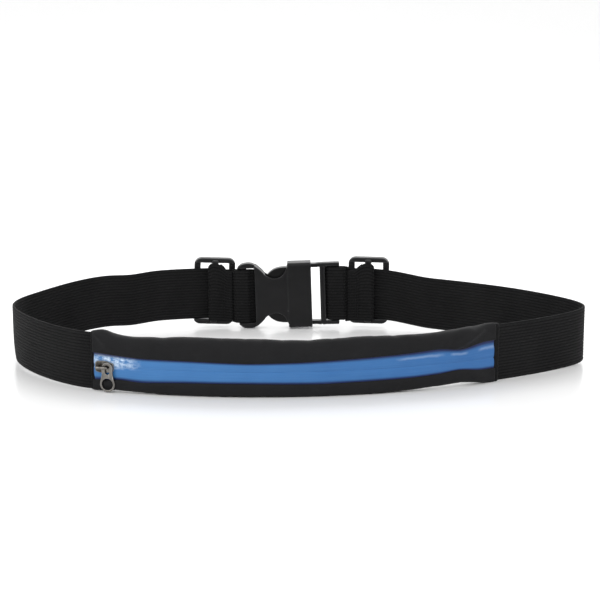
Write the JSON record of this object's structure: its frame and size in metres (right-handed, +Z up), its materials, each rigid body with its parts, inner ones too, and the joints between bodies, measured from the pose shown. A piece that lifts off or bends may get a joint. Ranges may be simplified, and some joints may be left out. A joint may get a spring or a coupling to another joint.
{
  "type": "waist pack",
  "caption": "Slim zipped waist pouch on an adjustable elastic webbing belt that closes with a side-release buckle behind.",
  "frame": {"origin": "on the surface the belt stands on, under the middle of the closed loop's box", "axes": "+X along the pouch to the viewer's right when the zip faces the viewer, -Y to the zip side, +Z up across the belt"},
  "size_m": [0.3106, 0.1542, 0.0418],
  "materials": {
    "pouch_fabric": "smooth matt stretch knit",
    "binding_fabric": "folded woven binding",
    "zip_tape": "coated zip tape with a satin sheen",
    "zip_coil": "nylon coil",
    "zip_metal": "gunmetal plated zinc",
    "elastic_webbing": "ribbed elastic webbing",
    "moulded_plastic": "satin moulded acetal"
  },
  "bodies": {
    "belt": {"back_panel": "pouch_fabric", "upper_panel": "pouch_fabric", "lower_panel": "pouch_fabric", "left_end_binding": "binding_fabric", "right_end_binding": "binding_fabric", "upper_zip_tape": "zip_tape", "lower_zip_tape": "zip_tape", "upper_zip_coil": "zip_coil", "lower_zip_coil": "zip_coil", "zip_top_stop": "zip_metal", "zip_bottom_stop": "zip_metal", "left_webbing": "elastic_webbing", "right_webbing_front": "elastic_webbing", "buckle_socket": "moulded_plastic"},
    "slider": {"zip_slider": "zip_metal"},
    "pull": {"zip_pull": "zip_metal"},
    "plug_side": {"buckle_plug": "moulded_plastic", "right_webbing_rear": "elastic_webbing"},
    "upper_prong": {"upper_prong": "moulded_plastic"},
    "lower_prong": {"lower_prong": "moulded_plastic"},
    "left_glide": {"left_glide": "moulded_plastic", "left_sewn_loop": "elastic_webbing"},
    "right_glide": {"right_glide": "moulded_plastic", "right_sewn_loop": "elastic_webbing"}
  },
  "joints": [
    {"name": "zip_slide", "type": "hinge", "parent": "belt", "child": "slider", "pos_m": [-0.01969, 0.19435, 0.0132], "axis": [0, 0, 1], "range_deg": [0, 41.8]},
    {"name": "pull_swing", "type": "hinge", "parent": "slider", "child": "pull", "pos_m": [-0.09713, -0.06692, 0.0132], "axis": [-0.2912, -0.9567, 0], "range_deg": [-35, 130]},
    {"name": "buckle_release", "type": "slide", "parent": "belt", "child": "plug_side", "axis": [0.9995, 0, 0.0314], "range_m": [0, 0.03]},
    {"name": "upper_prong_squeeze", "type": "hinge", "parent": "plug_side", "child": "upper_prong", "pos_m": [0.01117, 0.07225, 0.03772], "axis": [0, -1, 0], "range_deg": [0, 8], "stiffness_Nm_per_rad": 1},
    {"name": "lower_prong_squeeze", "type": "hinge", "parent": "plug_side", "child": "lower_prong", "pos_m": [0.01224, 0.07225, 0.00364], "axis": [0, 1, 0], "range_deg": [0, 8], "stiffness_Nm_per_rad": 1},
    {"name": "left_glide_slide", "type": "hinge", "parent": "belt", "child": "left_glide", "pos_m": [-0.03549, -0.07195, 0.0219], "axis": [0, 0, 1], "range_deg": [0, 17]},
    {"name": "right_glide_slide", "type": "hinge", "parent": "plug_side", "child": "right_glide", "pos_m": [0.02601, -0.03795, 0.02235], "axis": [0, 0, -1], "range_deg": [0, 12]}
  ]
}
